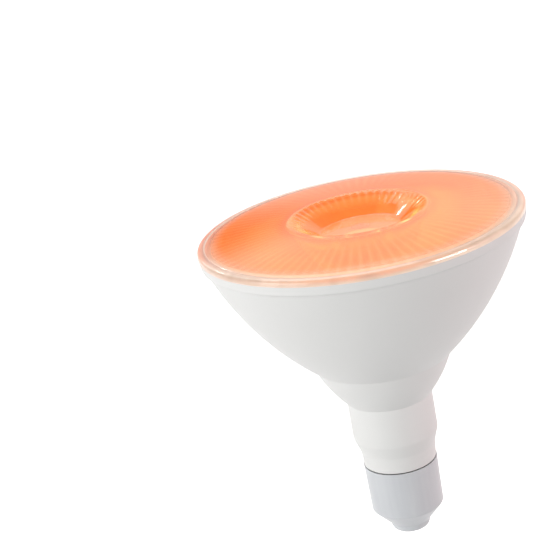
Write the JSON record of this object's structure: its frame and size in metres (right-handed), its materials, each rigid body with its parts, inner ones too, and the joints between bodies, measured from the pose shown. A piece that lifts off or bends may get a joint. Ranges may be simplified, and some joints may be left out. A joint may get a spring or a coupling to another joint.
{
  "type": "par spotlight bulb",
  "caption": "Reflector LED lamp with a white flared housing, clear domed lens with a fluted central crater, screw base and push-on base cap.",
  "frame": {"origin": "tip of the centre contact, on the lamp's axis", "axes": "+Z along the lamp's axis from the screw base to the lens"},
  "size_m": [0.1208, 0.1208, 0.129],
  "materials": {
    "white_housing": "fine matte moulding",
    "clear_lens": "clear, ribbed inside",
    "aluminium_sheet": "drawn sheet",
    "grey_silicone": "soft pad",
    "white_board": "white solder mask",
    "white_ceramic": "matte",
    "white_silicone": "smooth bead",
    "amber_gel": "glossy gel",
    "screw_steel": "plated",
    "black_moulding": "moulded",
    "black_rubber": "soft",
    "red_wire": "smooth insulation",
    "black_wire": "smooth insulation",
    "white_wire": "smooth insulation",
    "green_board": "green solder mask",
    "green_coating": "matte coating",
    "blue_coating": "dipped coating",
    "brown_coating": "dipped coating",
    "ferrite": "sintered",
    "copper_wire": "enamelled winding",
    "can_sleeve": "shrink sleeve",
    "yellow_tape": "polyester tape",
    "plated_shell": "nickel-plated sheet",
    "black_insulator": "smooth",
    "plated_contact": "plated rivet",
    "milky_cap": "smooth milky moulding"
  },
  "bodies": {
    "lamp": {"housing": "white_housing", "front_lens": "clear_lens", "heat_sink_cup": "aluminium_sheet", "heat_sink_plate": "aluminium_sheet", "thermal_pad": "grey_silicone", "led_board": "white_board", "led_substrate": "white_ceramic", "led_dam": "white_silicone", "led_gel": "amber_gel", "board_screws": "screw_steel", "board_connector": "black_moulding", "lead_grommet": "black_rubber", "lead_positive": "red_wire", "lead_negative": "black_wire", "driver_board": "green_board", "fuse_resistor": "green_coating", "varistor": "blue_coating", "film_capacitor": "brown_coating", "choke_core": "ferrite", "choke_winding": "copper_wire", "bridge_rectifier": "black_moulding", "controller_chip": "black_moulding", "output_diode": "black_moulding", "input_capacitor": "can_sleeve", "output_capacitor": "can_sleeve", "transformer_core": "ferrite", "transformer_bobbin": "black_moulding", "transformer_winding": "yellow_tape", "base_shell": "plated_shell", "base_insulator": "black_insulator", "centre_contact": "plated_contact", "live_lead": "red_wire", "neutral_lead": "white_wire"},
    "cap": {"base_cap": "milky_cap"}
  },
  "joints": [
    {"name": "cap_pull", "type": "slide", "parent": "lamp", "child": "cap", "axis": [0, 0, -1], "range_m": [0, 0.04]}
  ]
}
